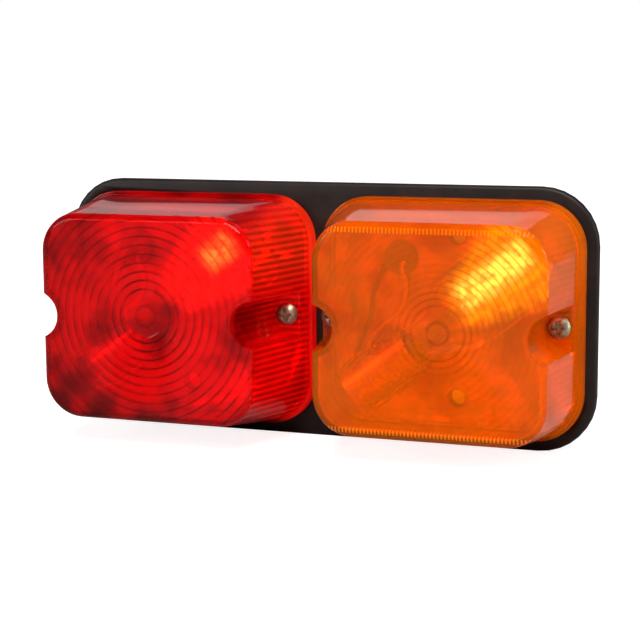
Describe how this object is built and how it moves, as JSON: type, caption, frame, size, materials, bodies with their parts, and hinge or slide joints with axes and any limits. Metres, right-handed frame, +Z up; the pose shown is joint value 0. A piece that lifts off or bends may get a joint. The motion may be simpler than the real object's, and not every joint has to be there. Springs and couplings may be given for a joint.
{
  "type": "trailer tail light",
  "caption": "Rectangular trailer tail light: a red stop and tail lens beside an amber indicator lens on a black base plate, with bayonet bulbs over bright reflectors.",
  "frame": {"origin": "the middle of the base plate's flat rear face, which bears on the trailer", "axes": "+X along the width, with the amber lens on +X; +Z up; the lenses face -Y and +Y is the rear face's outward normal"},
  "size_m": [0.195, 0.0427, 0.09],
  "materials": {
    "black_plastic": "moulded black plastic, satin",
    "red_lens": "clear red acrylic, gloss outside, prisms inside",
    "amber_lens": "clear amber acrylic, gloss outside, prisms inside",
    "bright_sheet": "bright pressed aluminium sheet",
    "zinc_steel": "zinc-plated steel, pale cream",
    "brass": "plain brass",
    "rubber": "soft black rubber",
    "phenolic": "brown moulded phenolic",
    "glass": "clear glass",
    "tungsten": "drawn tungsten wire",
    "spring_steel": "spring steel wire",
    "wire_red": "red cable insulation",
    "wire_brown": "brown cable insulation",
    "wire_green": "green cable insulation",
    "wire_white": "white cable insulation"
  },
  "bodies": {
    "housing": {"base_plate": "black_plastic", "cable_grommet_amber": "rubber", "cable_grommet_red": "rubber", "contact_spring_indicator": "spring_steel", "contact_spring_stop": "spring_steel", "contact_spring_tail": "spring_steel", "contact_terminal_indicator": "brass", "contact_terminal_stop": "brass", "contact_terminal_tail": "brass", "earth_wire_amber": "wire_white", "earth_wire_red": "wire_white", "feed_wire_indicator": "wire_green", "feed_wire_stop": "wire_red", "feed_wire_tail": "wire_brown", "lens_seal_amber": "rubber", "lens_seal_red": "rubber", "reflector_gutter_amber": "bright_sheet", "reflector_gutter_red": "bright_sheet", "reflector_tray_amber": "bright_sheet", "reflector_tray_red": "bright_sheet", "rivet_amber_bracket_1": "zinc_steel", "rivet_amber_bracket_2": "zinc_steel", "rivet_amber_gutter_1": "zinc_steel", "rivet_amber_gutter_2": "zinc_steel", "rivet_red_bracket_1": "zinc_steel", "rivet_red_bracket_2": "zinc_steel", "rivet_red_gutter_1": "zinc_steel", "rivet_red_gutter_2": "zinc_steel", "socket_bracket_amber": "zinc_steel", "socket_bracket_red": "zinc_steel", "socket_disc_amber": "phenolic", "socket_disc_red": "phenolic", "socket_shell_amber": "brass", "socket_shell_red": "brass"},
    "red_lens": {"lens_red": "red_lens"},
    "amber_lens": {"lens_amber": "amber_lens"},
    "washer_red_outer": {"lens_washer_red_outer": "rubber"},
    "screw_red_outer": {"lens_screw_red_outer": "zinc_steel"},
    "washer_red_inner": {"lens_washer_red_inner": "rubber"},
    "screw_red_inner": {"lens_screw_red_inner": "zinc_steel"},
    "washer_amber_inner": {"lens_washer_amber_inner": "rubber"},
    "screw_amber_inner": {"lens_screw_amber_inner": "zinc_steel"},
    "washer_amber_outer": {"lens_washer_amber_outer": "rubber"},
    "screw_amber_outer": {"lens_screw_amber_outer": "zinc_steel"},
    "red_contacts": {"contact_plunger_stop": "brass", "contact_plunger_tail": "brass"},
    "red_bulb": {"bulb_cap_red": "brass", "bulb_disc_red": "phenolic", "bulb_glass_red": "glass", "filament_stop": "tungsten", "filament_tail": "tungsten"},
    "amber_contacts": {"contact_plunger_indicator": "brass"},
    "amber_bulb": {"bulb_cap_amber": "brass", "bulb_disc_amber": "phenolic", "bulb_glass_amber": "glass", "filament_indicator": "tungsten"}
  },
  "joints": [
    {"name": "red_lens_lift", "type": "slide", "parent": "housing", "child": "red_lens", "axis": [0, -1, 0], "range_m": [0, 0.06]},
    {"name": "amber_lens_lift", "type": "slide", "parent": "housing", "child": "amber_lens", "axis": [0, -1, 0], "range_m": [0, 0.06]},
    {"name": "red_outer_screw_rise", "type": "slide", "parent": "red_lens", "child": "washer_red_outer", "axis": [0, -1, 0], "range_m": [0, 0.0078]},
    {"name": "red_outer_screw_turn", "type": "hinge", "parent": "washer_red_outer", "child": "screw_red_outer", "pos_m": [-0.0871, -0.0144, 0], "axis": [0, -1, 0], "range_deg": [0, 2160]},
    {"name": "red_inner_screw_rise", "type": "slide", "parent": "red_lens", "child": "washer_red_inner", "axis": [0, -1, 0], "range_m": [0, 0.0078]},
    {"name": "red_inner_screw_turn", "type": "hinge", "parent": "washer_red_inner", "child": "screw_red_inner", "pos_m": [-0.0085, -0.0144, 0], "axis": [0, -1, 0], "range_deg": [0, 2160]},
    {"name": "amber_inner_screw_rise", "type": "slide", "parent": "amber_lens", "child": "washer_amber_inner", "axis": [0, -1, 0], "range_m": [0, 0.0078]},
    {"name": "amber_inner_screw_turn", "type": "hinge", "parent": "washer_amber_inner", "child": "screw_amber_inner", "pos_m": [0.0085, -0.0144, 0], "axis": [0, -1, 0], "range_deg": [0, 2160]},
    {"name": "amber_outer_screw_rise", "type": "slide", "parent": "amber_lens", "child": "washer_amber_outer", "axis": [0, -1, 0], "range_m": [0, 0.0078]},
    {"name": "amber_outer_screw_turn", "type": "hinge", "parent": "washer_amber_outer", "child": "screw_amber_outer", "pos_m": [0.0871, -0.0144, 0], "axis": [0, -1, 0], "range_deg": [0, 2160]},
    {"name": "red_bulb_push", "type": "slide", "parent": "housing", "child": "red_contacts", "axis": [-0.788, 0, -0.6157], "range_m": [0, 0.0012], "stiffness_N_per_m": 800, "springref_m": -0.001, "deforming": ["contact_spring_stop", "contact_spring_tail"]},
    {"name": "red_bulb_twist", "type": "hinge", "parent": "red_contacts", "child": "red_bulb", "pos_m": [-0.0449, -0.0184, 0.0044], "axis": [0.788, 0, 0.6157], "range_deg": [0, 25]},
    {"name": "amber_bulb_push", "type": "slide", "parent": "housing", "child": "amber_contacts", "axis": [-0.788, 0, -0.6157], "range_m": [0, 0.0012], "stiffness_N_per_m": 800, "springref_m": -0.001, "deforming": ["contact_spring_indicator"]},
    {"name": "amber_bulb_twist", "type": "hinge", "parent": "amber_contacts", "child": "amber_bulb", "pos_m": [0.0547, -0.0184, 0.0044], "axis": [0.788, 0, 0.6157], "range_deg": [0, 25]}
  ],
  "couplings": [
    {"joint": "red_outer_screw_turn", "follows": "red_outer_screw_rise", "rad_per_m": 4833.2},
    {"joint": "red_inner_screw_turn", "follows": "red_inner_screw_rise", "rad_per_m": 4833.2},
    {"joint": "amber_inner_screw_turn", "follows": "amber_inner_screw_rise", "rad_per_m": 4833.2},
    {"joint": "amber_outer_screw_turn", "follows": "amber_outer_screw_rise", "rad_per_m": 4833.2}
  ]
}
